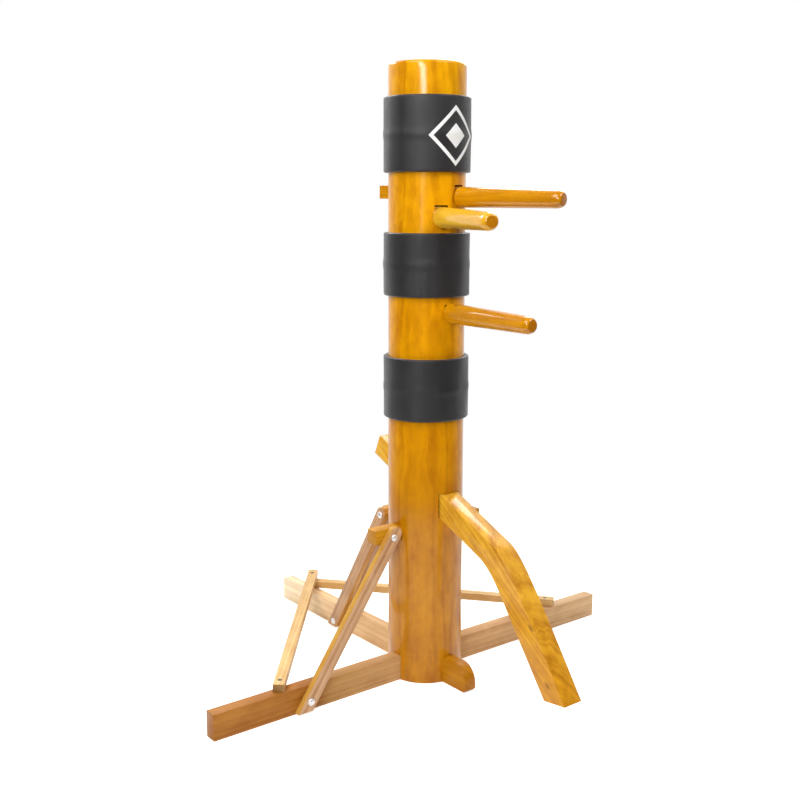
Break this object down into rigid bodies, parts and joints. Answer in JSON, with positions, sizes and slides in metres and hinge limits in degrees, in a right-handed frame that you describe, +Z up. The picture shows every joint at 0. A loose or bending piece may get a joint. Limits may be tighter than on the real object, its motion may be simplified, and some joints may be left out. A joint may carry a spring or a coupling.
{
  "type": "wooden training dummy",
  "caption": "Free-standing wooden martial arts training dummy: a padded round trunk in a braced cross base, with round arms and a bent leg.",
  "frame": {"origin": "on the trunk's axis at floor level, on the underside of the lateral base beam", "axes": "+Z up along the trunk; the arms and the leg face -Y; the lateral base beam lies along X, and the long base beam along Y"},
  "size_m": [1.39, 1.323, 1.7],
  "materials": {
    "varnished_wood": "amber gloss varnish",
    "pale_wood": "thin satin varnish",
    "peg_wood": "bare hardwood dowel",
    "leatherette": "satin black grained leatherette",
    "closure_tape": "woven hook-and-loop tape",
    "foam": "closed-cell foam",
    "zinc_steel": "bright zinc plate",
    "dark_steel": "dark phosphated screw"
  },
  "bodies": {
    "stand": {"trunk": "varnished_wood", "lateral_beam": "pale_wood", "long_beam": "pale_wood", "crossbar": "varnished_wood", "rear_bar": "varnished_wood", "brace_left": "pale_wood", "brace_right": "pale_wood", "brace_rear_left": "pale_wood", "brace_rear_right": "pale_wood", "tie_bar_left": "pale_wood", "tie_bar_right": "pale_wood", "screw_tie_left": "dark_steel", "screw_tie_right": "dark_steel", "screw_tie_rear": "dark_steel", "bolt_left_foot": "zinc_steel", "washer_left_foot": "zinc_steel", "nut_left_foot": "zinc_steel", "bolt_left_top": "zinc_steel", "washer_left_top": "zinc_steel", "nut_left_top": "zinc_steel", "bolt_right_foot": "zinc_steel", "washer_right_foot": "zinc_steel", "nut_right_foot": "zinc_steel", "bolt_right_top": "zinc_steel", "washer_right_top": "zinc_steel", "nut_right_top": "zinc_steel", "bolt_rear_foot": "zinc_steel", "washer_rear_foot": "zinc_steel", "nut_rear_foot": "zinc_steel", "bolt_rear_top": "zinc_steel", "washer_rear_top": "zinc_steel", "nut_rear_top": "zinc_steel", "pad_upper_cover": "leatherette", "pad_upper_foam": "foam", "pad_upper_closure": "closure_tape", "pad_middle_cover": "leatherette", "pad_middle_foam": "foam", "pad_middle_closure": "closure_tape", "pad_lower_cover": "leatherette", "pad_lower_foam": "foam", "pad_lower_closure": "closure_tape"},
    "arm_upper_right": {"arm_upper_right": "varnished_wood", "peg_arm_upper_right": "peg_wood"},
    "arm_upper_left": {"arm_upper_left": "varnished_wood", "peg_arm_upper_left": "peg_wood"},
    "arm_middle": {"arm_middle": "varnished_wood", "peg_arm_middle": "peg_wood"},
    "leg": {"leg": "varnished_wood", "peg_leg": "peg_wood"}
  },
  "joints": [
    {"name": "arm_upper_right_slide", "type": "slide", "parent": "stand", "child": "arm_upper_right", "axis": [0.2571, -0.9662, -0.0183], "range_m": [0, 0.011]},
    {"name": "arm_upper_left_slide", "type": "slide", "parent": "stand", "child": "arm_upper_left", "axis": [-0.304, -0.9525, -0.0183], "range_m": [0, 0.011]},
    {"name": "arm_middle_slide", "type": "slide", "parent": "stand", "child": "arm_middle", "axis": [-0.0244, -0.9995, -0.0183], "range_m": [0, 0.011]},
    {"name": "leg_slide", "type": "slide", "parent": "stand", "child": "leg", "axis": [0, 0.9178, 0.3971], "range_m": [0, 0.15]}
  ]
}
